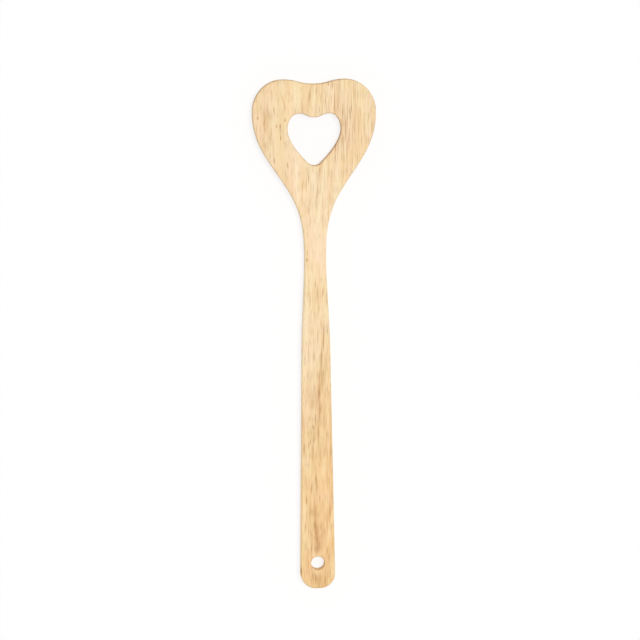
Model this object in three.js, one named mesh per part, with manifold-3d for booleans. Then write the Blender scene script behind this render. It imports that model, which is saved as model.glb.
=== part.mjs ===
// A flat wooden cooking spatula: a heart-shaped head with a heart-shaped opening through it,
// a slim neck, a grip that widens towards a rounded end, and a hanging hole.
// Millimetres. X runs across the head, Y along the length towards the head, Z up through the thickness.
// The spatula lies on its back face, with the middle of its footprint at the origin.
import * as THREE from "three";
import { mergeVertices } from "three/addons/utils/BufferGeometryUtils.js";
import Module from "manifold-3d";

// The board as a whole
const THICKNESS = 7; // the same from end to end
const EDGE_RADIUS = 0.8; // rounding of every edge of the outline and of the heart opening

// Stretches of the outline along its length, from the tops of the lobes to the end of the grip
const SHOULDER_DROP = 18.8; // down to the widest line of the head
const UPPER_FLANK = 43.6; // from there to the straightest part of the flanks
const LOWER_FLANK = 41.6; // from there to the narrowest line of the neck
const NECK_LENGTH = 52; // from there to the start of the grip's straight taper
const GRIP_LENGTH = 144; // from there to the end

// Widths of the outline
const HEAD_WIDTH = 72; // across the widest line
const FLANK_WIDTH = 33.6; // across the straightest part of the flanks
const NECK_WIDTH = 12.6; // across the narrowest line
const GRIP_WIDTH = 16.6; // where the straight taper starts
const TAIL_WIDTH = 20.6; // where the taper would end without its corners rounded

// Curves of the outline
const SHOULDER_WIDTH = 17.7; // from the top of a lobe out to the widest line
const TOP_DIP = 2.6; // depth of the dip between the lobes
const FLANK_LEAN = THREE.MathUtils.degToRad(33); // lean of the flanks away from the long axis
const FLANK_PULL = 0.39; // how straight the flanks run, as a share of each curve's span
const TAIL_CORNER_RADIUS = 9; // rounding of the two corners of the end

// The heart-shaped opening
const HEART_RIM = 19.6; // wood between the tops of the head's lobes and of the opening's lobes
const HEART_WIDTH = 31.2;
const HEART_HEIGHT = 30.5;
const HEART_SHOULDER_WIDTH = 6.6; // from the top of a lobe out to the widest line
const HEART_SHOULDER_DROP = 9.2; // from the tops of the lobes down to the widest line
const HEART_DIP = 2.3;
const HEART_TIP_RADIUS = 5; // inside rounding of the lower tip
const HEART_TIP_LEAN = THREE.MathUtils.degToRad(45); // lean of the flanks where they meet the tip
const HEART_PULL = 0.3; // how straight the opening's flanks run, as a share of their span

// The hanging hole
const HANG_HOLE_DIAMETER = 8;
const HANG_HOLE_INSET = 15; // from the end of the grip to the middle of the hole
const HANG_HOLE_EDGE = 0.6; // rounding of the hole's two rims

// The blank is glued up edge to edge from three staves, with the grain along Y
const STAVE_WIDTH = 25;
const GLUE_LINE = 0.1; // thickness of the glue film between two staves

// Fineness of the curves, and how far a cutting block or drill reaches past what it cuts
const CURVE_STEPS = 12;
const EDGE_STEPS = 3;
const HOLE_STEPS = 32;
const OVERCUT = 5;

// Lines shared by several pieces
const LENGTH = SHOULDER_DROP + UPPER_FLANK + LOWER_FLANK + NECK_LENGTH + GRIP_LENGTH;
const TOP = LENGTH / 2;
const TAIL = -LENGTH / 2;
const GRIP_Y = TAIL + GRIP_LENGTH;
const NECK_Y = GRIP_Y + NECK_LENGTH;
const FLANK_Y = NECK_Y + LOWER_FLANK;
const WIDEST_Y = FLANK_Y + UPPER_FLANK;
const HEART_TOP = TOP - HEART_RIM;
const HEART_WIDEST_Y = HEART_TOP - HEART_SHOULDER_DROP;
const HEART_TIP_Y = HEART_TOP - HEART_HEIGHT;
const HANG_HOLE_Y = TAIL + HANG_HOLE_INSET;

const wasm = await Module();
wasm.setup();

// A closed solid for cutting, from a three.js geometry
function solidFrom(geometry) {
  const plain = geometry.clone();
  plain.deleteAttribute("normal");
  plain.deleteAttribute("uv");
  const merged = mergeVertices(plain, 1e-4);
  const mesh = new wasm.Mesh({
    numProp: 3,
    vertProperties: new Float32Array(merged.attributes.position.array),
    triVerts: new Uint32Array(merged.index.array),
  });
  mesh.merge();
  return new wasm.Manifold(mesh);
}

// A three.js geometry from a solid
function geometryFrom(solid) {
  const mesh = solid.getMesh();
  const geometry = new THREE.BufferGeometry();
  geometry.setAttribute("position", new THREE.BufferAttribute(new Float32Array(mesh.vertProperties), 3));
  geometry.setIndex(new THREE.BufferAttribute(new Uint32Array(mesh.triVerts), 1));
  geometry.computeVertexNormals();
  return geometry;
}

// A block between two corners, for dividing the blank
function blockBetween(low, high) {
  const size = new THREE.Vector3().subVectors(high, low);
  const block = new THREE.BoxGeometry(size.x, size.y, size.z);
  block.translate((low.x + high.x) / 2, (low.y + high.y) / 2, (low.z + high.z) / 2);
  return solidFrom(block);
}

// The points along a path, without the near-repeats where one curve hands over to the next
function distinctPoints(path) {
  const points = path.getPoints(CURVE_STEPS);
  return points.filter((point, i) => i === 0 || point.distanceTo(points[i - 1]) > 1e-6);
}

// The right-hand top of a heart: from the dip on the axis over the lobe to the widest point
function drawLobe(path, halfWidth, shoulderWidth, shoulderDrop, top, dip) {
  const lobeX = halfWidth - shoulderWidth;
  const dipY = top - dip;
  path.moveTo(0, dipY);
  path.bezierCurveTo(lobeX / 2, dipY, lobeX / 2, top, lobeX, top);
  path.absellipse(lobeX, top - shoulderDrop, shoulderWidth, shoulderDrop, Math.PI / 2, 0, true, 0);
}

// The right-hand half of the spatula's outline, from the dip in the head down to the end of the grip
function spatulaHalf() {
  const half = HEAD_WIDTH / 2;
  const flank = FLANK_WIDTH / 2;
  const neck = NECK_WIDTH / 2;
  const grip = GRIP_WIDTH / 2;
  const leanX = Math.sin(FLANK_LEAN);
  const leanY = Math.cos(FLANK_LEAN);
  const upperPull = FLANK_PULL * Math.hypot(half - flank, UPPER_FLANK);
  const lowerPull = FLANK_PULL * Math.hypot(flank - neck, LOWER_FLANK);
  const neckPull = NECK_LENGTH / 3;
  const taper = (TAIL_WIDTH / 2 - grip) / GRIP_LENGTH;
  const path = new THREE.Path();
  drawLobe(path, half, SHOULDER_WIDTH, SHOULDER_DROP, TOP, TOP_DIP);
  path.bezierCurveTo(
    half, WIDEST_Y - upperPull,
    flank + leanX * upperPull, FLANK_Y + leanY * upperPull,
    flank, FLANK_Y,
  );
  path.bezierCurveTo(
    flank - leanX * lowerPull, FLANK_Y - leanY * lowerPull,
    neck, NECK_Y + lowerPull,
    neck, NECK_Y,
  );
  path.bezierCurveTo(neck, NECK_Y - neckPull, grip - taper * neckPull, GRIP_Y + neckPull, grip, GRIP_Y);
  // At most a half-round end: the two corners can't pass each other on the axis
  const roundestCorner = TAIL_WIDTH / 2 / (Math.hypot(1, taper) + taper);
  const corner = Math.min(TAIL_CORNER_RADIUS, roundestCorner);
  const cornerX = TAIL_WIDTH / 2 - taper * corner - corner * Math.hypot(1, taper);
  path.absarc(cornerX, TAIL + corner, corner, Math.atan(taper), -Math.PI / 2, true);
  path.lineTo(0, TAIL);
  return distinctPoints(path);
}

// The right-hand half of the heart opening, from its dip down to its tip
function heartHalf() {
  const half = HEART_WIDTH / 2;
  const leanX = Math.sin(HEART_TIP_LEAN);
  const leanY = Math.cos(HEART_TIP_LEAN);
  const meetX = HEART_TIP_RADIUS * leanY;
  const meetY = HEART_TIP_Y + HEART_TIP_RADIUS * (1 - leanX);
  const pull = HEART_PULL * Math.hypot(half - meetX, HEART_WIDEST_Y - meetY);
  const path = new THREE.Path();
  drawLobe(path, half, HEART_SHOULDER_WIDTH, HEART_SHOULDER_DROP, HEART_TOP, HEART_DIP);
  path.bezierCurveTo(
    half, HEART_WIDEST_Y - pull,
    meetX + leanX * pull, meetY + leanY * pull,
    meetX, meetY,
  );
  const tipMiddle = HEART_TIP_Y + HEART_TIP_RADIUS;
  path.absarc(0, tipMiddle, HEART_TIP_RADIUS, -HEART_TIP_LEAN, -Math.PI / 2, true);
  return distinctPoints(path);
}

// A closed outline, run anticlockwise, from its right-hand half mirrored over the long axis
function mirrored(half) {
  const leftHalf = half.slice(1, -1).map((point) => new THREE.Vector2(-point.x, point.y));
  return leftHalf.concat(half.slice().reverse());
}

// The shaped board with its rounded edges and the heart opening
function shapedBoard() {
  const shape = new THREE.Shape(mirrored(spatulaHalf()));
  shape.holes.push(new THREE.Path(mirrored(heartHalf())));
  const geometry = new THREE.ExtrudeGeometry(shape, {
    depth: THICKNESS - 2 * EDGE_RADIUS,
    bevelEnabled: true,
    bevelThickness: EDGE_RADIUS,
    bevelSize: EDGE_RADIUS,
    bevelOffset: -EDGE_RADIUS,
    bevelSegments: EDGE_STEPS,
  });
  geometry.translate(0, 0, EDGE_RADIUS);
  return solidFrom(geometry);
}

// The drill for the hanging hole, flared at both faces so that the rims come out rounded
function hangHoleDrill() {
  const wide = HANG_HOLE_DIAMETER / 2 + HANG_HOLE_EDGE;
  const flare = new THREE.Path();
  flare.absarc(wide, HANG_HOLE_EDGE, HANG_HOLE_EDGE, -Math.PI / 2, -Math.PI, true);
  const lowerRim = flare.getPoints(EDGE_STEPS);
  const upperRim = lowerRim.map((point) => new THREE.Vector2(point.x, THICKNESS - point.y)).reverse();
  const profile = [
    new THREE.Vector2(0, -OVERCUT),
    new THREE.Vector2(wide, -OVERCUT),
    ...lowerRim,
    ...upperRim,
    new THREE.Vector2(wide, THICKNESS + OVERCUT),
    new THREE.Vector2(0, THICKNESS + OVERCUT),
  ];
  const geometry = new THREE.LatheGeometry(profile, HOLE_STEPS);
  geometry.rotateX(Math.PI / 2);
  geometry.translate(0, HANG_HOLE_Y, 0);
  return solidFrom(geometry);
}

const board = shapedBoard().subtract(hangHoleDrill());

// The glue planes stand half a stave either side of the axis, and only above the neck, so the
// middle stave carries the whole handle. The heart opening parts it into the crown and the handle.
const innerFace = (STAVE_WIDTH - GLUE_LINE) / 2;
const outerFace = (STAVE_WIDTH + GLUE_LINE) / 2;
const sideLimit = HEAD_WIDTH / 2 + OVERCUT;

// A block over part of the head's width, from a given line up past the top of the head
function headBlock(fromX, toX, fromY) {
  const low = new THREE.Vector3(fromX, fromY, -OVERCUT);
  const high = new THREE.Vector3(toX, TOP + OVERCUT, THICKNESS + OVERCUT);
  return blockBetween(low, high);
}

const leftStave = board.intersect(headBlock(-sideLimit, -outerFace, NECK_Y));
const rightStave = board.intersect(headBlock(outerFace, sideLimit, NECK_Y));
const crownStave = board.intersect(headBlock(-innerFace, innerFace, HEART_WIDEST_Y + GLUE_LINE / 2));
const handleStave = board
  .subtract(headBlock(-sideLimit, -innerFace, NECK_Y))
  .subtract(headBlock(innerFace, sideLimit, NECK_Y))
  .subtract(headBlock(-sideLimit, sideLimit, HEART_WIDEST_Y - GLUE_LINE / 2));

// One oiled pale wood, a little lighter in the head than in the handle
function wood(color) {
  return new THREE.MeshStandardMaterial({ color, roughness: 0.6, metalness: 0 });
}

function named(name, solid, material) {
  const mesh = new THREE.Mesh(geometryFrom(solid), material);
  mesh.name = name;
  return mesh;
}

const spatula = new THREE.Group();
spatula.name = "wooden_spatula";
spatula.add(named("handle_stave", handleStave, wood(0xf0d0a3)));
spatula.add(named("crown_stave", crownStave, wood(0xf3d7ad)));
spatula.add(named("left_stave", leftStave, wood(0xf3d6ac)));
spatula.add(named("right_stave", rightStave, wood(0xf3d7ad)));

export default spatula;
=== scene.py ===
"""A flat wooden spatula with a heart-shaped opening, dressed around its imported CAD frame.

The file is laid out as a Blender add-on and run as a script. One Geometry Nodes tree shapes the rounded
board from its outline and saws one stave out of it, and one procedural wood covers all the staves.
"""

import math
from collections import namedtuple

import bpy
from bpy.props import FloatProperty, FloatVectorProperty, PointerProperty
from mathutils import Matrix, Vector


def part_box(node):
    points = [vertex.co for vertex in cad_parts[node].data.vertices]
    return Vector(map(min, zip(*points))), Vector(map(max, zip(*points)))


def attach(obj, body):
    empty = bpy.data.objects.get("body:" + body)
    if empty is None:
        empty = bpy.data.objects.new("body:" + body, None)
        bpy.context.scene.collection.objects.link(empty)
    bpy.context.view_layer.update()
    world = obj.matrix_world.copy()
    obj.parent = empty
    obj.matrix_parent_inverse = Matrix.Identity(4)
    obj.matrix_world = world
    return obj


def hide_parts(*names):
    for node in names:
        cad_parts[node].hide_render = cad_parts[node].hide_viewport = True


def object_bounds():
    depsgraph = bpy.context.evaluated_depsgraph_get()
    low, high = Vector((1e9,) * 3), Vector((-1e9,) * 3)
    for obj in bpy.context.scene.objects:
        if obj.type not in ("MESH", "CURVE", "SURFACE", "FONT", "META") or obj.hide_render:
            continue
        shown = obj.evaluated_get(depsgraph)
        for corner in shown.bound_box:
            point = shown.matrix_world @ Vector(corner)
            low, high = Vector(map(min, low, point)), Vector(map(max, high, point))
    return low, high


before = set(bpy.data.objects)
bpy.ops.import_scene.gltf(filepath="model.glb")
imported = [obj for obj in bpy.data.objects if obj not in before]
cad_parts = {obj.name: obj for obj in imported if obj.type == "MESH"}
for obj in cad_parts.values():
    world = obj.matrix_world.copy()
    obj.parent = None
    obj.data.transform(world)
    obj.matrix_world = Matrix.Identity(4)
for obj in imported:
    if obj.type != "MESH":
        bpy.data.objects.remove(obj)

bl_info = {
    "name": "Wooden Spatula",
    "version": (1, 0, 0),
    "blender": (4, 5, 0),
    "location": "3D View > Sidebar > Spatula",
    "description": "Makes a flat wooden spatula with a heart-shaped opening, and a plain stage for it",
    "category": "Add Mesh",
}

MM = 0.001
CAD_LOW, CAD_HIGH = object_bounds()
BOARD = CAD_HIGH - CAD_LOW

# Settings

# Brightest level of a screen, and the standard curve from levels to light: a straight foot, then a power
SCREEN_WHITE = 255
FOOT_END = 0.04045
FOOT_SLOPE = 12.92
CURVE_OFFSET = 0.055
CURVE_POWER = 2.4


def length(name, description, millimetres):
    """A length property, with its default given in millimetres."""
    return FloatProperty(
        name=name,
        description=description,
        default=millimetres * MM,
        min=0.0,
        subtype="DISTANCE",
        precision=5,
    )


def angle(name, description, degrees):
    """An angle property, with its default given in degrees."""
    return FloatProperty(
        name=name, description=description, default=math.radians(degrees), subtype="ANGLE"
    )


def share(name, description, default):
    """A plain factor property."""
    return FloatProperty(name=name, description=description, default=default, min=0.0, subtype="FACTOR")


def screen_to_light(level):
    """The linear light that a screen level from 0 to 1 stands for."""
    if level <= FOOT_END:
        return level / FOOT_SLOPE
    return ((level + CURVE_OFFSET) / (1 + CURVE_OFFSET)) ** CURVE_POWER


def tint(name, description, red, green, blue):
    """A colour property, with its default given as seen on a screen, 0 to 255."""
    return FloatVectorProperty(
        name=name,
        description=description,
        default=tuple(screen_to_light(level / SCREEN_WHITE) for level in (red, green, blue)),
        min=0.0,
        max=1.0,
        subtype="COLOR",
    )


class SpatulaOutline(bpy.types.PropertyGroup):
    """Sizes of the board's outline, from the tops of the head's lobes to the end of the grip."""

    shoulder_drop: length("Shoulder Drop", "From the tops of the lobes to the head's widest line", 18.8)
    upper_flank: length("Upper Flank", "From the widest line to the flanks' straightest part", 43.6)
    lower_flank: length("Lower Flank", "From the straightest part to the neck's narrowest line", 41.6)
    neck_length: length("Neck Length", "From the narrowest line to the start of the grip's taper", 52)
    flank_width: length("Flank Width", "Across the straightest part of the flanks", 33.6)
    neck_width: length("Neck Width", "Across the narrowest line", 12.6)
    grip_width: length("Grip Width", "Where the grip's straight taper starts", 16.6)
    tail_width: length("Tail Width", "Where the taper would end without its corners rounded", 20.6)
    shoulder_width: length("Shoulder Width", "From the top of a lobe out to the widest line", 17.7)
    top_dip: length("Top Dip", "Depth of the dip between the lobes", 2.6)
    tail_corner: length("Tail Corner", "Rounding of the two corners of the end", 9)
    flank_lean: angle("Flank Lean", "Lean of the flanks away from the long axis", 33)
    flank_pull: share("Flank Pull", "How straight the flanks run, as a share of their spans", 0.39)


class SpatulaHeart(bpy.types.PropertyGroup):
    """Sizes of the heart-shaped opening."""

    rim: length("Rim", "Wood between the tops of the head's lobes and of the opening's lobes", 19.6)
    width: length("Width", "Across the widest line", 31.2)
    height: length("Height", "From the tops of the lobes to the tip", 30.5)
    shoulder_width: length("Shoulder Width", "From the top of a lobe out to the widest line", 6.6)
    shoulder_drop: length("Shoulder Drop", "From the tops of the lobes down to the widest line", 9.2)
    dip: length("Dip", "Depth of the dip between the lobes", 2.3)
    tip_radius: length("Tip Radius", "Inside rounding of the lower tip", 5)
    tip_lean: angle("Tip Lean", "Lean of the flanks where they meet the tip", 45)
    pull: share("Flank Pull", "How straight the flanks run, as a share of their span", 0.3)


class SpatulaEdges(bpy.types.PropertyGroup):
    """Sizes of the rounded edges and of the hanging hole."""

    radius: length("Edge Radius", "Rounding of the outline's and the heart's edges", 0.8)
    rim: length("Flat Rim", "Narrow flat strip that keeps the faces flat beside a rounded edge", 0.4)
    hole_diameter: length("Hole Diameter", "Diameter of the hanging hole", 8)
    hole_inset: length("Hole Inset", "From the end of the grip to the middle of the hanging hole", 15)
    hole_edge: length("Hole Edge", "Rounding of the hanging hole's rims", 0.6)
    spacing: length("Point Spacing", "Distance between points along the outline", 0.7)


class SpatulaWood(bpy.types.PropertyGroup):
    """Colours and figure of the wood, and the light and shade painted on its walls."""

    cream: tint("Cream", "Lightest wood between the growth rings", 255, 235, 200)
    honey: tint("Honey", "Middle tone of the wood", 245, 218, 176)
    tan: tint("Tan", "Darker wood of the growth rings", 224, 188, 141)
    brown: tint("Brown", "Darkest marks of the figure", 168, 122, 78)
    rose: tint("Rose", "Faint tint of some patches of the wood", 255, 248, 246)
    gold: tint("Gold", "Faint tint of other patches", 255, 255, 246)
    amber: tint("Amber", "Tint that the wood takes on towards the end of the grip", 255, 246, 229)
    pore: tint("Pore", "Colour of the open pores", 160, 114, 68)
    ring_width: length("Ring Width", "Usual width of a growth ring", 3.6)
    pith_depth: length("Pith Depth", "How far below the back face the rings have their middle", 24)
    pith_lean: share("Pith Lean", "How much nearer the pith comes to the board along its length", 0.06)
    tone: share("Tone", "How dark the neck is on the whole, from the cream to the brown", 0.32)
    head_tone: share("Head Tone", "How much darker the head is than the neck", 0.08)
    grip_tone: share("Grip Tone", "How much darker the grip is than the neck", 0.17)
    bands: share("Bands", "Contrast of the broad growth rings", 0.4)
    lines: share("Lines", "Contrast of the fine lines within the rings", 0.55)
    streaks: share("Streaks", "Contrast of the long soft streaks", 0.5)
    head_rings: share("Head Rings", "How much of the broad rings' contrast the head shows", 0.6)
    head_streaks: share("Head Streaks", "How much of the streaks' contrast the head shows", 0.72)
    fibres: share("Fibres", "Contrast of the fibres", 0.36)
    marks: share("Marks", "How strongly the marks of the figure show", 0.75)
    pores: share("Pores", "How strongly the pores show", 0.6)
    end_grain: share("End Grain", "How much darker the ends of the fibres are", 0.1)
    # Painted shade: the head's walls are made darker in their colour to stand for the shade that falls on
    # them
    head_wall_painted_shade: share("Head Walls", "How much darker the cutter left the walls of the head", 0.22)
    # Painted light: the grip's walls, the hanging hole's among them, are made paler in their colour to
    # stand for light falling on them
    grip_wall_painted_light: share("Grip Walls", "How much paler the sanded walls of the grip are", 0.32)


class SpatulaStage(bpy.types.PropertyGroup):
    """Camera, light and floor."""

    distance: length("Camera Distance", "From the camera to the point that it looks at", 2000)
    frame_width: length("Frame Width", "Width of the picture at that point", 374.5)
    from_left: share("From Left", "The camera's place to the left, as a share of its height", 0.08)
    from_head: share("From Head", "The camera's place towards the head, as a share of its height", 0.13)
    aim_right: length("Aim Right", "The looked-at point's place to the right of the middle", 2.6)
    aim_head: length("Aim Head", "The looked-at point's place towards the head from the middle", 9.2)
    roll: angle("Roll", "Turn of the camera about its line of sight", 0.46)
    key: share("Key Light", "Light of the large lamp, where 1 shows the upper face's colours as set", 0.5)
    key_spread: angle("Key Spread", "Width of the large lamp as seen from the spatula", 28)
    fill: share("Fill Light", "Light from all round, on the same scale", 0.49)
    floor: tint("Floor", "Colour of the floor", 248, 248, 248)
    shadow: share("Shadow", "How much of the light and shade on the floor is seen", 0.24)


class SpatulaSettings(bpy.types.PropertyGroup):
    """All the spatula's settings."""

    outline: PointerProperty(type=SpatulaOutline)
    heart: PointerProperty(type=SpatulaHeart)
    edges: PointerProperty(type=SpatulaEdges)
    wood: PointerProperty(type=SpatulaWood)
    stage: PointerProperty(type=SpatulaStage)


# Nodes

# Spacing of nodes in the node editor
NODE_STEP = 190
# Level about which a noise swings
NOISE_MIDDLE = 0.5


def opaque(colour):
    """A colour with full cover, as node sockets take it."""
    return (*colour, 1.0)


class Graph:
    """Adds nodes to one tree, sets their sockets and joins them up."""

    def __init__(self, tree):
        self.tree = tree
        tree.nodes.clear()

    def add(self, kind, sockets=None, **settings):
        """A new node. A socket is named or numbered, and takes a value or another node's output."""
        node = self.tree.nodes.new(kind)
        node.location = (NODE_STEP * len(self.tree.nodes), 0)
        for setting, value in settings.items():
            setattr(node, setting, value)
        for key, value in (sockets or {}).items():
            self.feed(node.inputs[key], value)
        return node

    def feed(self, socket, value):
        """Links an output to a socket, or sets the socket's own value."""
        if isinstance(value, bpy.types.NodeSocket):
            self.tree.links.new(value, socket)
        else:
            socket.default_value = value

    def math(self, operation, *values):
        """The result of an operation on numbers."""
        return self.add("ShaderNodeMath", dict(enumerate(values)), operation=operation).outputs[0]

    def vector(self, x=0.0, y=0.0, z=0.0):
        """A vector from its three parts."""
        return self.add("ShaderNodeCombineXYZ", {"X": x, "Y": y, "Z": z}).outputs[0]

    def axes(self, vector):
        """The three parts of a vector, by name."""
        return self.add("ShaderNodeSeparateXYZ", {0: vector}).outputs

    def scaled(self, vector, factor):
        """A vector times a number."""
        node = self.add("ShaderNodeVectorMath", {0: vector, "Scale": factor}, operation="SCALE")
        return node.outputs[0]

    def combined(self, operation, first, second):
        """Two vectors worked on axis by axis."""
        return self.add("ShaderNodeVectorMath", {0: first, 1: second}, operation=operation).outputs[0]

    def weighed(self, base, *parts):
        """A base value plus each part times its weight."""
        total = base
        for value, weight in parts:
            total = self.math("MULTIPLY_ADD", value, weight, total)
        return total

    def swayed(self, base, *noises):
        """A base value that each noise sways up and down by its own amount."""
        swings = [(self.math("SUBTRACT", noise, NOISE_MIDDLE), amount) for noise, amount in noises]
        return self.weighed(base, *swings)

    def fade(self, value, span, levels=(0.0, 1.0)):
        """Goes smoothly from the first level to the second as the value crosses the span."""
        limits = zip(("From Min", "From Max", "To Min", "To Max"), (*span, *levels))
        sockets = {"Value": value, **dict(limits)}
        return self.add("ShaderNodeMapRange", sockets, interpolation_type="SMOOTHSTEP").outputs[0]

    def blend(self, factor, first, second, mode="MIX"):
        """The first colour with the second laid over it by the factor."""
        node = self.add("ShaderNodeMix", data_type="RGBA", blend_type=mode)
        by_name = {"Factor_Float": factor, "A_Color": first, "B_Color": second}
        for socket in node.inputs:
            if socket.identifier in by_name:
                self.feed(socket, by_name[socket.identifier])
        return next(socket for socket in node.outputs if socket.identifier == "Result_Color")

    def noise(self, place, detail=2.0, roughness=0.5, output="Fac"):
        """Smooth noise with features about one unit of place across."""
        sockets = {"Vector": place, "Scale": 1.0, "Detail": detail, "Roughness": roughness}
        return self.add("ShaderNodeTexNoise", sockets, noise_dimensions="3D").outputs[output]

    def grain(self, place, density, **settings):
        """Noise with its own number of features to a unit of place along each axis."""
        return self.noise(self.combined("MULTIPLY", place, density), **settings)


# Outlines

Knot = namedtuple("Knot", "before point after")

QUARTER_TURN = math.pi / 2
# Straight steps from which each span of a curve is made
CURVE_STEPS = 48


def arc_handle(turn):
    """Length of the Bezier handles that draw an arc through an angle, as a share of its radius."""
    return 4 / 3 * math.tan(turn / 4)


# Handles of a quarter circle
ROUND = arc_handle(QUARTER_TURN)


def mirrored(knot):
    """The knot on the other side of the long axis, met while travelling the other way."""
    return Knot(*((-x, y) for x, y in (knot.after, knot.point, knot.before)))


def closed_loop(half):
    """A clockwise loop from the knots of its right half, listed from the top of the axis downwards."""
    other_half = [mirrored(knot) for knot in reversed(half) if knot.point[0] > 0]
    return half + other_half


def turned_round(loop):
    """The same loop travelled the other way."""
    return [Knot(knot.after, knot.point, knot.before) for knot in reversed(loop)]


def lobe_knots(half_width, shoulder_width, shoulder_drop, top, dip):
    """The dip on the axis and the top of the right lobe of a heart."""
    lobe = half_width - shoulder_width
    dip_knot = Knot((-lobe / 2, top - dip), (0, top - dip), (lobe / 2, top - dip))
    lobe_knot = Knot((lobe / 2, top), (lobe, top), (lobe + ROUND * shoulder_width, top))
    return [dip_knot, lobe_knot]


def spatula_loop(outline):
    """The board's outline, clockwise."""
    top = CAD_HIGH.y
    tail = CAD_LOW.y
    half = BOARD.x / 2
    flank = outline.flank_width / 2
    neck = outline.neck_width / 2
    grip = outline.grip_width / 2
    widest_y = top - outline.shoulder_drop
    flank_y = widest_y - outline.upper_flank
    neck_y = flank_y - outline.lower_flank
    grip_y = neck_y - outline.neck_length
    lean_x = math.sin(outline.flank_lean)
    lean_y = math.cos(outline.flank_lean)
    upper = outline.flank_pull * math.hypot(half - flank, outline.upper_flank)
    lower = outline.flank_pull * math.hypot(flank - neck, outline.lower_flank)
    taper = (outline.tail_width / 2 - grip) / (grip_y - tail)
    corner = outline.tail_corner
    corner_x = outline.tail_width / 2 - taper * corner - corner * math.hypot(1, taper)
    corner_y = tail + corner
    start = math.atan(taper)
    start_x = corner_x + corner * math.cos(start)
    start_y = corner_y + corner * math.sin(start)
    handle = arc_handle(QUARTER_TURN + start) * corner
    # The handles of a straight or nearly straight span are a third of it long
    run = outline.neck_length / 3
    straight = (grip_y - start_y) / 3
    knots = lobe_knots(half, outline.shoulder_width, outline.shoulder_drop, top, outline.top_dip)
    knots += [
        Knot(
            (half, widest_y + ROUND * outline.shoulder_drop),
            (half, widest_y),
            (half, widest_y - upper),
        ),
        Knot(
            (flank + lean_x * upper, flank_y + lean_y * upper),
            (flank, flank_y),
            (flank - lean_x * lower, flank_y - lean_y * lower),
        ),
        Knot((neck, neck_y + lower), (neck, neck_y), (neck, neck_y - run)),
        Knot(
            (grip - taper * run, grip_y + run),
            (grip, grip_y),
            (grip + taper * straight, grip_y - straight),
        ),
        Knot(
            (start_x - taper * straight, start_y + straight),
            (start_x, start_y),
            (start_x + handle * math.sin(start), start_y - handle * math.cos(start)),
        ),
        Knot((corner_x + handle, tail), (corner_x, tail), (corner_x / 3, tail)),
    ]
    return closed_loop(knots)


def heart_loop(heart):
    """The heart opening's outline, clockwise."""
    top = CAD_HIGH.y - heart.rim
    tip = top - heart.height
    half = heart.width / 2
    widest_y = top - heart.shoulder_drop
    lean_x = math.sin(heart.tip_lean)
    lean_y = math.cos(heart.tip_lean)
    meet_x = heart.tip_radius * lean_y
    meet_y = tip + heart.tip_radius * (1 - lean_x)
    pull = heart.pull * math.hypot(half - meet_x, widest_y - meet_y)
    handle = arc_handle(QUARTER_TURN - heart.tip_lean) * heart.tip_radius
    knots = lobe_knots(half, heart.shoulder_width, heart.shoulder_drop, top, heart.dip)
    knots += [
        Knot(
            (half, widest_y + ROUND * heart.shoulder_drop),
            (half, widest_y),
            (half, widest_y - pull),
        ),
        Knot(
            (meet_x + lean_x * pull, meet_y + lean_y * pull),
            (meet_x, meet_y),
            (meet_x - lean_x * handle, meet_y - lean_y * handle),
        ),
        Knot((handle, tip), (0, tip), (-handle, tip)),
    ]
    return closed_loop(knots)


def outline_curve(settings):
    """A curve of the board's outline and the heart's, both with the wood on their right."""
    curve = bpy.data.curves.new("spatula_outline", "CURVE")
    curve.dimensions = "3D"
    curve.resolution_u = CURVE_STEPS
    for loop in (spatula_loop(settings.outline), turned_round(heart_loop(settings.heart))):
        spline = curve.splines.new("BEZIER")
        spline.bezier_points.add(len(loop) - 1)
        spline.use_cyclic_u = True
        for point, knot in zip(spline.bezier_points, loop):
            point.handle_left_type = "FREE"
            point.handle_right_type = "FREE"
            point.handle_left = (*knot.before, 0)
            point.co = (*knot.point, 0)
            point.handle_right = (*knot.after, 0)
    return curve


# The tree that shapes the board and saws a stave out of it

BOARD_TREE = "Rounded Board Stave"
BOARD_INPUTS = {
    "Outline": "NodeSocketGeometry",
    "Thickness": "NodeSocketFloat",
    "Edge Radius": "NodeSocketFloat",
    "Flat Rim": "NodeSocketFloat",
    "Point Spacing": "NodeSocketFloat",
    "Hole Radius": "NodeSocketFloat",
    "Hole Middle": "NodeSocketVector",
    "Hole Edge": "NodeSocketFloat",
    "Stave Low": "NodeSocketVector",
    "Stave High": "NodeSocketVector",
    "Wood": "NodeSocketMaterial",
}
# Points across a rounded edge and round the hanging hole
EDGE_POINTS = 7
HOLE_POINTS = 96
# Points that stand closer together than this are made one
WELD = 0.002 * MM
# Edges with a bend of more than this stay sharp
SHARP_ANGLE = math.radians(40)


def rounded_edge(graph, line, thickness, radius, rim):
    """The band that runs round a line: the wall, both rounded edges and a narrow strip of both faces.

    Gives the band and the line on which its strips end.
    """
    inset = graph.math("ADD", radius, rim)
    # A profile's Y axis points down on a line with level normals
    up = graph.math("MULTIPLY", thickness, -1.0)
    square = graph.add(
        "GeometryNodeCurvePrimitiveQuadrilateral",
        {
            "Point 1": graph.vector(x=inset),
            "Point 2": graph.vector(),
            "Point 3": graph.vector(y=up),
            "Point 4": graph.vector(x=inset, y=up),
        },
        mode="POINTS",
    )
    bracket = graph.add("GeometryNodeSetSplineCyclic", {0: square.outputs[0], "Cyclic": False})
    profile = graph.add(
        "GeometryNodeFilletCurve",
        {"Curve": bracket.outputs[0], "Radius": radius, "Count": EDGE_POINTS},
        mode="POLY",
    )
    band = graph.add("GeometryNodeCurveToMesh", {"Curve": line, "Profile Curve": profile.outputs[0]})
    normal = graph.add("GeometryNodeInputNormal").outputs["Normal"]
    inner = graph.add("GeometryNodeSetPosition", {0: line, "Offset": graph.scaled(normal, inset)})
    return band.outputs[0], inner.outputs[0]


def upright_normals(graph, line):
    """The same line, with its normals level."""
    return graph.add("GeometryNodeSetCurveNormal", {"Curve": line}, mode="Z_UP").outputs[0]


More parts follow.
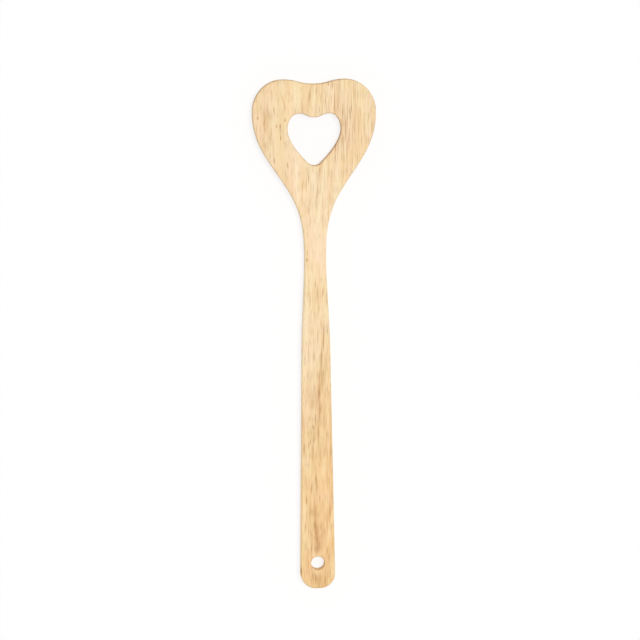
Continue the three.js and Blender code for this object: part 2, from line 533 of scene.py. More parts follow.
def moved(graph, geometry, offset):
    """The same geometry, moved by an offset."""
    return graph.add("GeometryNodeTransform", {0: geometry, "Translation": offset}).outputs[0]


def joined(graph, *parts):
    """All the parts as one geometry."""
    node = graph.add("GeometryNodeJoinGeometry")
    for part in parts:
        graph.feed(node.inputs[0], part)
    return node.outputs[0]


def board_tree():
    """The tree: outline in, one stave of the rounded board out."""
    tree = bpy.data.node_groups.new(BOARD_TREE, "GeometryNodeTree")
    tree.is_modifier = True
    for name, kind in BOARD_INPUTS.items():
        tree.interface.new_socket(name=name, in_out="INPUT", socket_type=kind)
    tree.interface.new_socket(name="Stave", in_out="OUTPUT", socket_type="NodeSocketGeometry")
    graph = Graph(tree)
    given = graph.add("NodeGroupInput").outputs
    spaced = graph.add(
        "GeometryNodeResampleCurve",
        {"Curve": given["Outline"], "Length": given["Point Spacing"]},
        mode="LENGTH",
    )
    circle = graph.add(
        "GeometryNodeCurvePrimitiveCircle",
        {"Resolution": HOLE_POINTS, "Radius": given["Hole Radius"]},
    )
    outline = upright_normals(graph, spaced.outputs[0])
    hole = upright_normals(graph, moved(graph, circle.outputs["Curve"], given["Hole Middle"]))
    thickness = given["Thickness"]
    rim = given["Flat Rim"]
    edge_band, edge_line = rounded_edge(graph, outline, thickness, given["Edge Radius"], rim)
    hole_band, hole_line = rounded_edge(graph, hole, thickness, given["Hole Edge"], rim)
    lines = joined(graph, edge_line, hole_line)
    face = graph.add("GeometryNodeFillCurve", {"Curve": lines}, mode="TRIANGLES").outputs[0]
    lower = graph.add("GeometryNodeFlipFaces", {"Mesh": face}).outputs[0]
    upper = moved(graph, face, graph.vector(z=thickness))
    shell = joined(graph, edge_band, hole_band, lower, upper)
    board = graph.add("GeometryNodeMergeByDistance", {"Geometry": shell, "Distance": WELD})
    low = given["Stave Low"]
    high = given["Stave High"]
    block = graph.add("GeometryNodeMeshCube", {"Size": graph.combined("SUBTRACT", high, low)})
    middle = graph.scaled(graph.combined("ADD", high, low), 0.5)
    sawn = graph.add("GeometryNodeMeshBoolean", operation="INTERSECT", solver="EXACT")
    for part in (board.outputs[0], moved(graph, block.outputs["Mesh"], middle)):
        graph.feed(sawn.inputs["Mesh 2"], part)
    smooth = graph.add("GeometryNodeSetShadeSmooth", {0: sawn.outputs[0], "Shade Smooth": True})
    bend = graph.add("GeometryNodeInputMeshEdgeAngle").outputs["Unsigned Angle"]
    sharp = graph.math("GREATER_THAN", bend, SHARP_ANGLE)
    creased = graph.add(
        "GeometryNodeSetShadeSmooth",
        {0: smooth.outputs[0], "Selection": sharp, "Shade Smooth": False},
        domain="EDGE",
    )
    real = graph.add("GeometryNodeRealizeInstances", {0: creased.outputs[0]})
    dressed = graph.add("GeometryNodeSetMaterial", {0: real.outputs[0], "Material": given["Wood"]})
    graph.add("NodeGroupOutput", {"Stave": dressed.outputs[0]})
    return tree


# Pieces

# Staves meet in the middle of the glue line that the CAD leaves between them
GLUE_LINE = 0.1 * MM


def new_object(scene, name, data):
    """An object with its data, added to the scene."""
    item = bpy.data.objects.new(name, data)
    scene.collection.objects.link(item)
    return item


def set_inputs(modifier, values):
    """Sets a Geometry Nodes modifier's inputs, by the identifiers of their sockets."""
    for socket in modifier.node_group.interface.items_tree:
        if socket.in_out == "INPUT" and socket.name in values:
            modifier[socket.identifier] = values[socket.name]


def make_stave(context, node, piece_name):
    """Saws the stave that stands for a CAD node out of the rounded board, as a plain mesh."""
    settings = context.scene.spatula
    edges = settings.edges
    low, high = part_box(node)
    kerf = Vector((GLUE_LINE, GLUE_LINE, GLUE_LINE)) / 2
    tree = bpy.data.node_groups.get(BOARD_TREE) or board_tree()
    pattern = new_object(context.scene, piece_name + "_pattern", outline_curve(settings))
    modifier = pattern.modifiers.new("Board", "NODES")
    modifier.node_group = tree
    set_inputs(
        modifier,
        {
            "Thickness": BOARD.z,
            "Edge Radius": edges.radius,
            "Flat Rim": edges.rim,
            "Point Spacing": edges.spacing,
            "Hole Radius": edges.hole_diameter / 2,
            "Hole Middle": (0.0, CAD_LOW.y + edges.hole_inset, 0.0),
            "Hole Edge": edges.hole_edge,
            "Stave Low": low - kerf,
            "Stave High": high + kerf,
            "Wood": pale_wood(settings),
        },
    )
    depsgraph = context.evaluated_depsgraph_get()
    mesh = bpy.data.meshes.new_from_object(pattern.evaluated_get(depsgraph), depsgraph=depsgraph)
    if not mesh.polygons:
        raise RuntimeError(f"the stave {piece_name} came out empty")
    curve = pattern.data
    bpy.data.objects.remove(pattern)
    bpy.data.curves.remove(curve)
    mesh.name = piece_name
    piece = new_object(context.scene, piece_name, mesh)
    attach(piece, "root")
    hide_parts(node)


# Wood

WOOD = "Oiled Pale Wood"

# Marks of the figure on the upper face, in millimetres: middle, half width and half length, lean in degrees
# to the left, and how much darker or lighter the wood gets
Mark = namedtuple("Mark", "x y width length lean tone")
MARKS = (
    # Left lobe, a brown patch with lines and flecks round it, and a pale patch towards the crown
    Mark(-11.5, 140, 5, 13, 0, -0.2),
    Mark(-27, 126.5, 3.4, 8, 0, 0.2),
    Mark(-29.1, 126, 0.5, 7, 0, 0.22),
    Mark(-25, 122, 0.4, 14, 0, 0.34),
    Mark(-28.6, 120.6, 0.6, 3.6, 0, 0.36),
    Mark(-25.9, 117.5, 0.7, 7, 0, 0.36),
    Mark(-27.3, 116, 0.6, 5, 0, 0.26),
    Mark(-28.5, 111, 2.4, 7, 0, 0.1),
    Mark(-31, 133.6, 1.1, 3.4, 0, 0.26),
    Mark(-27.2, 134, 0.8, 4.4, 0, 0.22),
    Mark(-23.6, 133, 0.8, 3.2, 8, 0.28),
    Mark(-27, 144, 2.6, 5, 0, 0.1),
    Mark(-18, 137.5, 1.1, 8, 17, 0.3),
    Mark(-33, 128, 0.7, 1.8, 0, 0.6),
    Mark(-22, 123.5, 0.6, 2, 0, 0.7),
    Mark(-20, 123.4, 0.5, 2.1, 0, 0.36),
    Mark(-19.7, 116.4, 0.5, 2.2, 0, 0.45),
    Mark(-17, 126.5, 0.7, 2.2, 0, 0.55),
    Mark(-16.8, 112, 1.1, 3.4, 0, 0.2),
    Mark(-21.8, 106.5, 0.8, 2.2, 0, 0.28),
    Mark(-23.5, 103.5, 0.6, 2.4, 0, 0.3),
    Mark(-15.9, 100.4, 0.8, 3, 4, 0.42),
    # Crown, with slanting bands and a few long lines
    Mark(-5.5, 140, 2.5, 11, -2, -0.12),
    Mark(-3, 138, 1, 13, -8, 0.26),
    Mark(-7, 135, 1.2, 7, -3, 0.2),
    Mark(1.4, 143, 1.2, 7, -3, 0.22),
    Mark(3, 132.5, 0.5, 4, -6, 0.3),
    Mark(4.4, 140, 0.5, 6, -3, 0.24),
    Mark(6.6, 138, 0.7, 5, -8, 0.2),
    Mark(8.7, 135, 0.5, 7, -3, 0.22),
    Mark(8.4, 147.6, 0.9, 2, 0, 0.4),
    Mark(10.1, 138, 0.4, 5, -3, 0.3),
    Mark(10.9, 137, 0.5, 10, -2, -0.34),
    Mark(11.8, 136, 0.5, 10, -1, 0.36),
    Mark(13.9, 135, 0.8, 8, 0, 0.26),
    Mark(10.4, 146.8, 2.4, 4, 0, 0.36),
    Mark(14.2, 145.5, 1.6, 7, 0, 0.14),
    # Right lobe, with straight lines close together beside the opening and fewer further out
    Mark(15.4, 129.4, 0.4, 4, 0, -0.3),
    Mark(16.3, 128, 0.5, 8, 0, 0.38),
    Mark(18.1, 122, 0.6, 13, 0, 0.58),
    Mark(19.2, 126.5, 0.4, 8, 0, 0.34),
    Mark(19.8, 126, 0.5, 8, 0, -0.42),
    Mark(20.9, 127, 0.5, 10, 0, 0.62),
    Mark(21.6, 133, 0.5, 11, 0, 0.28),
    Mark(16.6, 134, 0.5, 6, 0, 0.26),
    Mark(23.2, 122.5, 0.5, 7, 0, 0.24),
    Mark(25.4, 123, 0.5, 8, 0, 0.26),
    Mark(26.4, 123, 0.4, 8, 0, 0.2),
    Mark(26.2, 133, 0.5, 5, 0, 0.14),
    Mark(28.6, 123, 1.3, 8, 0, 0.24),
    Mark(31.6, 128.5, 0.5, 5, 0, 0.25),
    Mark(33, 133, 1.2, 5, 0, 0.22),
    Mark(16.6, 115, 0.8, 6, 0, 0.4),
    Mark(20.3, 115.5, 0.6, 7, 0, 0.44),
    Mark(27.5, 113.5, 0.5, 8, 0, 0.36),
    Mark(30.4, 114, 0.5, 6.5, 0, 0.38),
    Mark(16.9, 110.5, 0.5, 5.5, 0, 0.3),
    Mark(18.9, 109, 1, 7, 0, 0.16),
    Mark(12.1, 110, 0.5, 5, 0, 0.4),
    Mark(13.3, 106, 0.5, 6, 0, 0.28),
    Mark(15.7, 105.6, 0.4, 6, 0, 0.26),
    Mark(13.4, 110.6, 1.5, 5, 0, 0.24),
    Mark(19.4, 134, 1.5, 15, 0, 0.16),
    Mark(25, 128, 9, 8, 0, 0.1),
    Mark(26, 142, 7, 8, 0, 0.14),
    # Below the opening, a pale band with darker lines to its right, and the neck
    Mark(-10.2, 92, 1.9, 20, 1, -0.4),
    Mark(-7.2, 88, 0.5, 11, -6, 0.36),
    Mark(-7.9, 79.5, 1.2, 6, 0, 0.3),
    Mark(-4.6, 97, 1.6, 4, 0, 0.18),
    Mark(-3.6, 92, 0.5, 6, 0, 0.36),
    Mark(-5, 89.5, 0.4, 8, 0, 0.34),
    Mark(-2.3, 87.3, 0.6, 4.6, -5, 0.32),
    Mark(-0.8, 97, 0.8, 4, 0, 0.3),
    Mark(2.8, 97.5, 0.5, 3.4, 0, 0.24),
    Mark(1.4, 84, 0.7, 6.5, -6, 0.3),
    Mark(5.6, 89, 0.8, 7, 0, 0.26),
    Mark(8.3, 91.5, 0.5, 10, 0, 0.28),
    Mark(9.6, 91, 0.5, 10, 0, 0.38),
    Mark(8.4, 81.5, 2, 6, 0, 0.2),
    Mark(1, 79, 12, 7, 0, 0.1),
    Mark(-3.7, 73.5, 0.7, 5, -3, 0.26),
    Mark(7.6, 72.5, 0.5, 3, 0, 0.3),
    Mark(3.3, 68, 0.4, 5, 0, 0.22),
    Mark(-5, 64.8, 1.4, 2.4, 0, 0.16),
    Mark(-0.9, 59.3, 0.6, 2.8, 0, 0.24),
    Mark(-2.2, 55.5, 0.6, 4.4, 0, 0.2),
    Mark(0, 55, 26, 18, 0, -0.1),
    Mark(-4.8, 49.6, 0.5, 3, 0, 0.9),
    Mark(-5.2, 45.2, 1.1, 2.4, 0, 0.86),
    Mark(1.2, 38, 1.4, 4.5, 0, 0.14),
    # Upper grip, the long brown streak, the lines beside it and the pale left side
    Mark(0, 25, 26, 13, 0, 0.22),
    Mark(-5.5, 25, 0.5, 5, 0, 0.26),
    Mark(-3.5, 22, 0.5, 6, 0, 0.26),
    Mark(0.9, 25, 0.5, 5, 0, 0.24),
    Mark(4.5, 26, 0.8, 5, 0, 0.24),
    Mark(-1.7, 16, 0.9, 6, 0, 0.2),
    Mark(1.3, 14, 0.5, 6, 0, 0.22),
    Mark(2.7, 7.5, 0.5, 5, 0, 0.42),
    Mark(-1.6, 0, 0.6, 10, 4, 0.36),
    Mark(-1.2, -11, 0.6, 8, 0, 0.28),
    Mark(-1.5, -13, 1.6, 15, 0, 0.16),
    Mark(-7.8, -26, 2, 26, 0, -0.36),
    Mark(0.9, 0, 0.5, 8, 0, 0.26),
    Mark(-4.6, -8, 0.5, 9, 0, 0.16),
    Mark(4, 0, 1.6, 14, -2, 0.28),
    Mark(3, -14, 1.6, 14, -5, 0.28),
    Mark(1.9, -28, 1.2, 14, -3, 0.1),
    Mark(1.6, -42, 1.4, 14, 2, 0.28),
    Mark(4.3, 1, 0.7, 11, 0, 0.36),
    Mark(1.8, -22, 0.5, 5, -4, 0.22),
    Mark(3.6, -24, 1.8, 9, 0, 0.14),
    Mark(-1.6, -29, 0.6, 8, 0, 0.32),
    Mark(-2, -38, 0.9, 7, 0, 0.24),
    Mark(1.5, -33, 0.5, 6, -3, 0.3),
    Mark(2.2, -41.5, 0.6, 6, 2, 0.34),
    Mark(-6.1, -38, 0.5, 4, 0, 0.24),
    Mark(6.9, -38, 1.8, 12, 0, 0.3),
    Mark(-5.5, -46, 3.5, 20, 0, -0.2),
    Mark(-0.8, -49, 0.5, 5, 0, 0.36),
    Mark(0.4, -49, 0.4, 5, 0, 0.28),
    Mark(-4, -48, 0.6, 3.4, 0, 0.26),
    # Middle of the grip, a small pointed mark and a tan band
    Mark(-2, -53.2, 1, 2.2, 0, 0.26),
    Mark(-7.6, -54, 0.7, 5, 0, 0.18),
    Mark(-5.5, -56, 0.7, 6, 0, 0.2),
    Mark(6.1, -59, 0.5, 5.5, 0, 0.4),
    Mark(4.6, -50, 3, 9, 0, 0.14),
    Mark(-1.5, -60, 0.9, 9, 0, 0.44),
    Mark(0.8, -59, 1.2, 12, 0, 0.26),
    Mark(3.4, -62, 0.5, 9, 0, 0.2),
    Mark(-5.2, -63.8, 0.5, 4.6, 9, 0.54),
    Mark(-4, -63, 0.5, 3.6, -9, 0.5),
    Mark(-4.6, -66, 1.8, 6, 0, -0.16),
    Mark(-7.3, -66.5, 0.6, 6, 0, 0.32),
    Mark(-6.2, -72.5, 0.6, 5, 0, 0.28),
    Mark(-2.2, -70, 0.6, 9, 0, 0.28),
    Mark(1.9, -70, 0.6, 6, 0, 0.24),
    Mark(6.2, -69, 0.6, 6, 0, 0.28),
    Mark(4, -72, 6, 14, 0, 0.08),
    Mark(-4, -77.5, 0.5, 6, 0, -0.3),
    Mark(4, -79, 1.6, 8, 0, -0.22),
    Mark(7.4, -83, 1.4, 11, 0, -0.2),
    Mark(-3.5, -85, 8, 11, 0, 0.16),
    Mark(-0.6, -83, 0.9, 8, 0, 0.18),
    Mark(-0.6, -89, 2.4, 8, 0, 0.2),
    Mark(0.9, -90, 0.6, 7, 0, 0.2),
    Mark(-3.5, -90.5, 0.5, 5, 0, 0.4),
    Mark(3.4, -92, 0.6, 5, 0, 0.22),
    Mark(-6.5, -96.4, 0.4, 4.4, 0, 0.62),
    # Lower grip, the pale left side, the flame above the hole and the marks round it
    Mark(-8.2, -101, 2, 24, 0, -0.4),
    Mark(5, -95, 3.5, 14, 0, -0.3),
    Mark(2.6, -99, 0.5, 5, 0, 0.2),
    Mark(-1.4, -101, 2, 11, 0, 0.17),
    Mark(-4.4, -104.5, 0.8, 9, 0, 0.4),
    Mark(-3.1, -106, 0.7, 6, 0, 0.22),
    Mark(7.4, -104, 0.8, 7, 0, 0.16),
    Mark(4.6, -113, 1.4, 5, 0, -0.26),
    Mark(-7.4, -113, 0.8, 5.5, 0, 0.3),
    Mark(-6.2, -114, 0.5, 6, 0, -0.3),
    Mark(-1.2, -112, 2.4, 7, 0, 0.2),
    Mark(-1.2, -115, 1.6, 7, 4, 0.12),
    Mark(-0.2, -119.5, 1.7, 6, 8, 0.24),
    Mark(0.4, -123, 2, 4.4, 6, 0.24),
    Mark(-1, -127.5, 2, 4, 0, 0.24),
    Mark(4.4, -125, 1.3, 5, 0, 0.22),
    Mark(1.1, -115.5, 0.5, 6, 0, 0.4),
    Mark(2.2, -112, 0.5, 5, 0, 0.26),
    Mark(6.8, -117, 1.8, 10, 0, -0.24),
    Mark(0.3, -126.5, 3.6, 5, 0, 0.3),
    Mark(-3.9, -126.5, 0.5, 4, 0, 0.5),
    Mark(-5.4, -128, 1.2, 5, 0, 0.28),
    Mark(-6.2, -132, 0.5, 4, 0, 0.34),
    Mark(5.3, -127, 0.7, 4.5, 0, 0.34),
    Mark(-5.7, -135.4, 0.5, 3.6, 0, 0.56),
    Mark(-7.8, -123, 1.3, 9, 0, -0.26),
    Mark(-10, -139.8, 0.7, 4, 0, 0.8),
    Mark(3, -146, 12, 7, 0, 0.2),
    Mark(-3, -142.5, 0.5, 4.6, 0, 0.36),
    Mark(-1.6, -143.5, 1, 4.2, 0, 0.32),
    Mark(1.6, -143.5, 0.9, 4, 0, 0.24),
    Mark(7, -142, 2, 6, 0, 0.2),
)
# How far down from the upper face the marks reach, in millimetres
MARK_DEPTH = 9
# Nearness to a mark's middle over which it comes up to its full tone
MARK_SPAN = (0.0, 0.9)

# Features of each noise to a millimetre: across, along and down through the board
FIBRE_GRAIN = (3.2, 0.07, 3.2)
PORE_GRAIN = (4.0, 0.11, 4.0)
STREAK_GRAIN = (0.9, 0.022, 0.9)
WANDER_GRAIN = (1 / 20, 1 / 80, 1 / 20)
RIPPLE_GRAIN = (0.5, 0.1, 0.5)
ROSE_GRAIN = (0.12, 0.03, 0.12)
GOLD_GRAIN = (0.09, 0.045, 0.09)
# How many finer layers some noises have, and how strong those of the fibres are
FIBRE_DETAIL = 3.0
PORE_DETAIL = 1.0
BAND_DETAIL = 1.5
FIBRE_COARSENESS = 0.65
# Levels of a noise between which pores and patches come up
PORE_SPAN = (0.62, 0.72)
PATCH_SPAN = (0.4, 0.62)
# How the fibres break up the marks: levels of the fibres, and the marks' strength at each
BREAK_SPAN = (0.4, 0.6)
BREAK_LEVELS = (0.3, 1.7)

# Stretches of the board, in millimetres along it, over which one kind of wood passes into another
HEAD_SPAN = (70.0, 100.0)
# Over the next stretch the painted light on the grip's walls passes into the painted shade on the head's
# walls
WALL_SPAN = (50.0, 90.0)
GRIP_SPAN = (30.0, -70.0)
AMBER_SPAN = (20.0, -120.0)
# Stretches across the board: over the first the fine lines get clearer, over the second the head's marks
# get straighter
LINE_SPAN = (-20.0, 16.0)
STRAIGHT_SPAN = (-5.0, 16.0)
# Contrast of the fine lines at each end of their stretch, as shares of the wood's setting
LINE_LEVELS = (0.6, 1.4)

# The pith's slant across the board, and how far it wanders sideways, in millimetres
PITH_SLANT = 0.03
PITH_WANDER = 8.0
# How fast the rings change along the board, and how much faster the fine lines do
RING_DRIFT = 0.006
LINE_DRIFT = 3.0
LINES_PER_RING = 5.5
# Where in their noises the rings, the lines and the streaks are taken from
BAND_PLACE = 69.3
LINE_PLACE = 7.0
STREAK_PLACE = (48.6, 0.0, 0.0)
# Full swing of the marks' ripple across, along and down, in millimetres, and how much of it shows on the
# grip, and on the head from left to right
RIPPLE_SWING = (1.6, 5.0, 0.0)
GRIP_RIPPLE = 0.8
HEAD_RIPPLE = (0.4, 0.12)

# How level a surface is where it starts to count as a wall for the painted light and shade, and where it
# fully does
WALL_SLOPE = (0.8, 0.3)
# Tones at which the wood has each of its colours
COLOUR_STOPS = {"cream": 0.1, "honey": 0.4, "tan": 0.68, "brown": 1.0}
# Shine and roughness of the oiled wood, and how much rougher fibres and pores make it
SPECULAR = 0.35
ROUGHNESS = 0.5
FIBRE_ROUGHNESS = 0.12
PORE_ROUGHNESS = 0.15
# Height of the fibres, how much of it shows, and the depth of the pores as a share of it
RELIEF = 0.05 * MM
RELIEF_STRENGTH = 0.6
PORE_DEPTH = 1.6


def pale_wood(settings):
    """The wood of all the staves, made once."""
    material = bpy.data.materials.get(WOOD)
    if material:
        return material
    wood = settings.wood
    material = bpy.data.materials.new(WOOD)
    material.use_nodes = True
    graph = Graph(material.node_tree)
    coordinates = graph.add("ShaderNodeTexCoord").outputs
    # Millimetres from here on
    place = graph.scaled(coordinates["Object"], 1 / MM)
    axes = graph.axes(place)
    fibres = graph.grain(place, FIBRE_GRAIN, detail=FIBRE_DETAIL, roughness=FIBRE_COARSENESS)
    pores = graph.fade(graph.grain(place, PORE_GRAIN, detail=PORE_DETAIL), PORE_SPAN)
    tone = figured(graph, place, axes, fibres, wood)
    tone = end_grain_and_painted_walls(graph, axes, coordinates["Normal"], tone, wood)
    colour = tinted(graph, place, axes, tone, wood)
    colour = graph.blend(graph.math("MULTIPLY", pores, wood.pores), colour, opaque(wood.pore))
    roughness = graph.weighed(ROUGHNESS, (fibres, FIBRE_ROUGHNESS), (pores, PORE_ROUGHNESS))
    height = graph.weighed(fibres, (pores, -PORE_DEPTH))
    bump = graph.add(
        "ShaderNodeBump", {"Height": height, "Strength": RELIEF_STRENGTH, "Distance": RELIEF}
    )
    shader = graph.add(
        "ShaderNodeBsdfPrincipled",
        {
            "Base Color": colour,
            "Roughness": roughness,
            "Normal": bump.outputs[0],
            "Specular IOR Level": SPECULAR,
        },
    )
    graph.add("ShaderNodeOutputMaterial", {"Surface": shader.outputs[0]})
    return material


def figured(graph, place, axes, fibres, wood):
    """How dark the figure makes the wood: its growth rings, its fibres, and marks broken up by these."""
    tone = graph.swayed(growth_rings(graph, place, axes, wood), (fibres, wood.fibres))
    broken = graph.fade(fibres, BREAK_SPAN, BREAK_LEVELS)
    marks = graph.math("MULTIPLY", marked(graph, place, axes), broken)
    return graph.weighed(tone, (marks, wood.marks))


def end_grain_and_painted_walls(graph, axes, normal, tone, wood):
    """The tone with end grain darker, with painted shade on the head's walls and painted light on the
    grip's walls.
    """
    facing = graph.axes(normal)
    end_grain = graph.math("ABSOLUTE", facing["Y"])
    upright = graph.fade(graph.math("ABSOLUTE", facing["Z"]), WALL_SLOPE)
    # Painted light and shade on the walls: darker on the head, paler on the grip
    painted_wall_shade_and_light = graph.fade(axes["Y"], WALL_SPAN, (-wood.grip_wall_painted_light, wood.head_wall_painted_shade))
    return graph.weighed(tone, (end_grain, wood.end_grain), (upright, painted_wall_shade_and_light))


def tinted(graph, place, axes, tone, wood):
    """The colour of a tone, with patches of rose and gold, and amber towards the end of the grip."""
    ramp = graph.add("ShaderNodeValToRGB", {"Fac": tone})
    set_ramp(ramp.color_ramp, {stop: getattr(wood, name) for name, stop in COLOUR_STOPS.items()})
    colour = ramp.outputs["Color"]
    covers = (
        (wood.rose, graph.fade(graph.grain(place, ROSE_GRAIN), PATCH_SPAN)),
        (wood.gold, graph.fade(graph.grain(place, GOLD_GRAIN), PATCH_SPAN)),
        (wood.amber, graph.fade(axes["Y"], AMBER_SPAN)),
    )
    for shade, cover in covers:
        colour = graph.blend(cover, colour, opaque(shade), mode="MULTIPLY")
    return colour


def set_ramp(ramp, colours):
    """Fills a colour ramp from colours keyed by their positions."""
    first, last = min(colours), max(colours)
    stops = ramp.elements
    stops[0].position = first
    stops[1].position = last
    for position in colours:
        if first < position < last:
            stops.new(position)
    for stop, position in zip(stops, sorted(colours)):
        stop.color = opaque(colours[position])


def growth_rings(graph, place, axes, wood):
    """How dark the wood is from its growth rings, with the fine lines within them and the long streaks.

    The rings have their middle, the pith, below the board. It leans across the board and comes nearer to it
    towards the head, so the rings cut the faces in long curves that open towards the head.
    """
    wander = graph.grain(place, WANDER_GRAIN)
    side = graph.weighed(axes["X"], (axes["Y"], PITH_SLANT), (wander, PITH_WANDER))
    height = graph.math("ADD", axes["Z"], wood.pith_depth / MM)
    above = graph.weighed(height, (axes["Y"], -wood.pith_lean))
    from_pith = graph.add("ShaderNodeVectorMath", {0: graph.vector(side, above)}, operation="LENGTH")
    rings = graph.math("DIVIDE", from_pith.outputs["Value"], wood.ring_width / MM)
    drift = graph.math("MULTIPLY", axes["Y"], RING_DRIFT)
    bands = graph.noise(graph.vector(rings, drift, BAND_PLACE), detail=BAND_DETAIL)
    closer = graph.math("MULTIPLY", rings, LINES_PER_RING)
    faster = graph.math("MULTIPLY", drift, LINE_DRIFT)
    lines = graph.noise(graph.vector(closer, faster, LINE_PLACE))
    stretched = graph.combined("MULTIPLY", place, STREAK_GRAIN)
    streaks = graph.noise(graph.combined("ADD", stretched, STREAK_PLACE))
    # The lines are clearest on the right lobe, where the rings stand steepest
    line_share = graph.fade(axes["X"], LINE_SPAN, [level * wood.lines for level in LINE_LEVELS])
    band_share = graph.fade(axes["Y"], HEAD_SPAN, (wood.bands, wood.bands * wood.head_rings))
    streak_share = graph.fade(axes["Y"], HEAD_SPAN, (wood.streaks, wood.streaks * wood.head_streaks))
    tone = graph.swayed(wood.tone, (bands, band_share), (lines, line_share), (streaks, streak_share))
    head = graph.fade(axes["Y"], HEAD_SPAN)
    grip = graph.fade(axes["Y"], GRIP_SPAN)
    return graph.weighed(tone, (head, wood.head_tone), (grip, wood.grip_tone))


def marked(graph, place, axes):
    """How much the marks of the figure darken the wood, with their edges drawn out by a small ripple."""
    ripple = graph.grain(place, RIPPLE_GRAIN, output="Color")
    swing = graph.combined("SUBTRACT", ripple, (NOISE_MIDDLE, NOISE_MIDDLE, NOISE_MIDDLE))
    shift = graph.combined("MULTIPLY", swing, RIPPLE_SWING)
    # The figure runs straighter on the head, and straightest on the right lobe
    head_ripple = graph.fade(axes["X"], STRAIGHT_SPAN, HEAD_RIPPLE)
    ripple_share = graph.fade(axes["Y"], HEAD_SPAN, (GRIP_RIPPLE, head_ripple))
    bent = graph.combined("ADD", place, graph.scaled(shift, ripple_share))
    total = 0.0
    for mark in MARKS:
        inside = graph.add(
            "ShaderNodeMapping",
            {
                "Vector": bent,
                "Location": (mark.x, mark.y, BOARD.z / MM),
                "Rotation": (0.0, 0.0, math.radians(mark.lean)),
                "Scale": (mark.width, mark.length, MARK_DEPTH),
            },
            vector_type="TEXTURE",
        )
        # 1 in the middle of the mark and 0 on its rim
        near = graph.add("ShaderNodeTexGradient", {0: inside.outputs[0]}, gradient_type="SPHERICAL")
        total = graph.math("ADD", graph.fade(near.outputs["Fac"], MARK_SPAN, (0.0, mark.tone)), total)
    return total


# Stage

WHITE = (1.0, 1.0, 1.0, 1.0)
# How far the floor reaches from the middle, and how far it lies below the spatula
FLOOR_REACH = 4000 * MM
FLOOR_DROP = 0.1 * MM
# Nearest distance at which the camera sees things
CAMERA_NEAR = 10 * MM
# Where the large lamp's light comes from
KEY_DIRECTION = Vector((0.18, 0.12, 0.97)).normalized()


def aimed(location, target, roll=0.0):
    """A placing that looks from a location at a target, with +Y up in the picture before the roll."""
    forward = (target - location).normalized()
    right = forward.cross(Vector((0, 1, 0))).normalized()
    up = right.cross(forward)
    turn = Matrix((right, up, -forward)).transposed().to_4x4()
    return Matrix.Translation(location) @ turn @ Matrix.Rotation(roll, 4, "Z")


def add_camera(scene, stage):
    """The camera, almost straight above."""
    middle = (CAD_LOW + CAD_HIGH) / 2
    target = middle + Vector((stage.aim_right, stage.aim_head, 0))
    direction = Vector((-stage.from_left, stage.from_head, 1)).normalized()
    camera = bpy.data.cameras.new("photo_camera")
    camera.lens = camera.sensor_width * stage.distance / stage.frame_width
    camera.clip_start = CAMERA_NEAR
    body = new_object(scene, "photo_camera", camera)
    body.matrix_world = aimed(target + direction * stage.distance, target, -stage.roll)
    scene.camera = body


def seen_directly(graph):
    """1 on the rays that show a surface itself or its reflection, and 0 on those that light others."""
    path = graph.add("ShaderNodeLightPath").outputs
    mirrored_or_seen = graph.math("MAXIMUM", path["Is Camera Ray"], path["Is Glossy Ray"])
    return graph.math("MAXIMUM", mirrored_or_seen, path["Is Transmission Ray"])


def pale_floor(stage):
    """The floor's material. A glow of its own fills up what is seen of it, so its shadows show faintly."""
    material = bpy.data.materials.new("Pale Floor")
    material.use_nodes = True
    graph = Graph(material.node_tree)
    seen = seen_directly(graph)
    shade = opaque((stage.shadow, stage.shadow, stage.shadow))
    paint = graph.blend(seen, opaque(stage.floor), shade)
    diffuse = graph.add("ShaderNodeBsdfDiffuse", {"Color": paint})
    lift = graph.math("MULTIPLY", seen, 1.0 - stage.shadow)
    glow = graph.add("ShaderNodeEmission", {"Color": WHITE, "Strength": lift})
    both = graph.add("ShaderNodeAddShader", {0: diffuse.outputs[0], 1: glow.outputs[0]})
    graph.add("ShaderNodeOutputMaterial", {"Surface": both.outputs[0]})
    return material


def add_floor(scene, stage):
    """The wide floor on which the spatula lies."""
    sides = ((-1, -1), (1, -1), (1, 1), (-1, 1))
    corners = [(x * FLOOR_REACH, y * FLOOR_REACH, -FLOOR_DROP) for x, y in sides]
    mesh = bpy.data.meshes.new("floor")
    mesh.from_pydata(corners, [], [(0, 1, 2, 3)])
    mesh.materials.append(pale_floor(stage))
    floor = new_object(scene, "floor", mesh)


def add_world(scene, stage):
    """Light from all round, white where it is seen itself."""
    world = bpy.data.worlds.new("studio")
    world.use_nodes = True
    graph = Graph(world.node_tree)
    strength = graph.weighed(stage.fill, (seen_directly(graph), 1.0 - stage.fill))
    sky = graph.add("ShaderNodeBackground", {"Color": WHITE, "Strength": strength})
    graph.add("ShaderNodeOutputWorld", {"Surface": sky.outputs[0]})
    scene.world = world


def add_key(scene, stage):
    """The large lamp above the spatula."""
    lamp = bpy.data.lights.new("key_lamp", "SUN")
    lamp.angle = stage.key_spread
    # A sun straight above of strength pi shows a face that lies flat in its own colours
    lamp.energy = stage.key * math.pi / KEY_DIRECTION.z
    body = new_object(scene, "key_lamp", lamp)
    body.matrix_world = aimed(KEY_DIRECTION, Vector((0, 0, 0)))


# Operators and panel


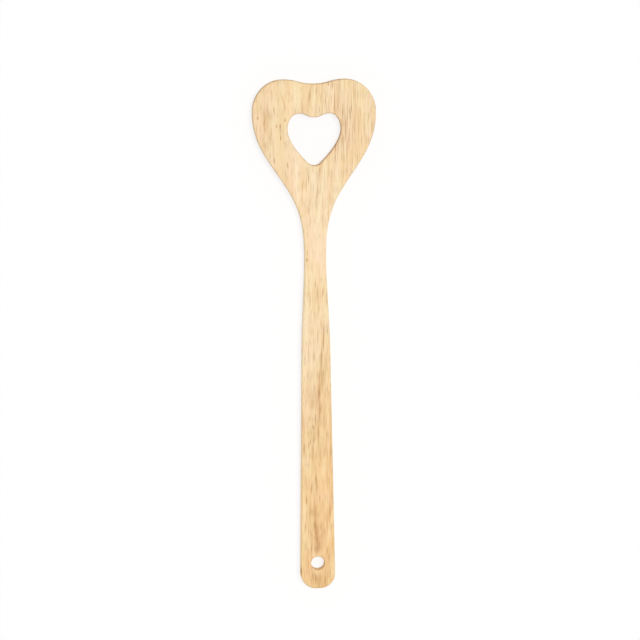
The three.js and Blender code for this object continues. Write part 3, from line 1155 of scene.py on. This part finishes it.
class SPATULA_OT_make_handle(bpy.types.Operator):
    """Saws the handle out of the board: the middle stave from the heart opening down"""

    bl_idname = "spatula.make_handle"
    bl_label = "Make Handle"

    def execute(self, context):
        make_stave(context, "handle_stave", "handle_wood")
        return {"FINISHED"}


class SPATULA_OT_make_head(bpy.types.Operator):
    """Saws the three staves of the head out of the board: the crown above the opening and both wings"""

    bl_idname = "spatula.make_head"
    bl_label = "Make Head"

    def execute(self, context):
        make_stave(context, "crown_stave", "crown_wood")
        make_stave(context, "left_stave", "left_wing_wood")
        make_stave(context, "right_stave", "right_wing_wood")
        return {"FINISHED"}


class SPATULA_OT_set_stage(bpy.types.Operator):
    """Sets up the floor, the light and the camera"""

    bl_idname = "spatula.set_stage"
    bl_label = "Set Stage"

    def execute(self, context):
        scene = context.scene
        stage = scene.spatula.stage
        scene.view_settings.view_transform = "Standard"
        add_camera(scene, stage)
        add_floor(scene, stage)
        add_world(scene, stage)
        add_key(scene, stage)
        return {"FINISHED"}


class SPATULA_PT_sidebar(bpy.types.Panel):
    """Lists the spatula's operators"""

    bl_idname = "SPATULA_PT_sidebar"
    bl_label = "Wooden Spatula"
    bl_space_type = "VIEW_3D"
    bl_region_type = "UI"
    bl_category = "Spatula"

    def draw(self, context):
        column = self.layout.column()
        for operator in OPERATORS:
            column.operator(operator.bl_idname)


OPERATORS = (SPATULA_OT_make_handle, SPATULA_OT_make_head, SPATULA_OT_set_stage)
CLASSES = (
    SpatulaOutline,
    SpatulaHeart,
    SpatulaEdges,
    SpatulaWood,
    SpatulaStage,
    SpatulaSettings,
    *OPERATORS,
    SPATULA_PT_sidebar,
)


def register():
    """Makes the classes known to Blender, and gives every scene the settings."""
    for part in CLASSES:
        bpy.utils.register_class(part)
    bpy.types.Scene.spatula = PointerProperty(type=SpatulaSettings)


def unregister():
    """Takes back what register did."""
    del bpy.types.Scene.spatula
    for part in reversed(CLASSES):
        bpy.utils.unregister_class(part)


def main():
    """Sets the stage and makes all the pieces."""
    register()
    bpy.ops.spatula.set_stage()
    bpy.ops.spatula.make_handle()
    bpy.ops.spatula.make_head()


if __name__ == "__main__":
    main()
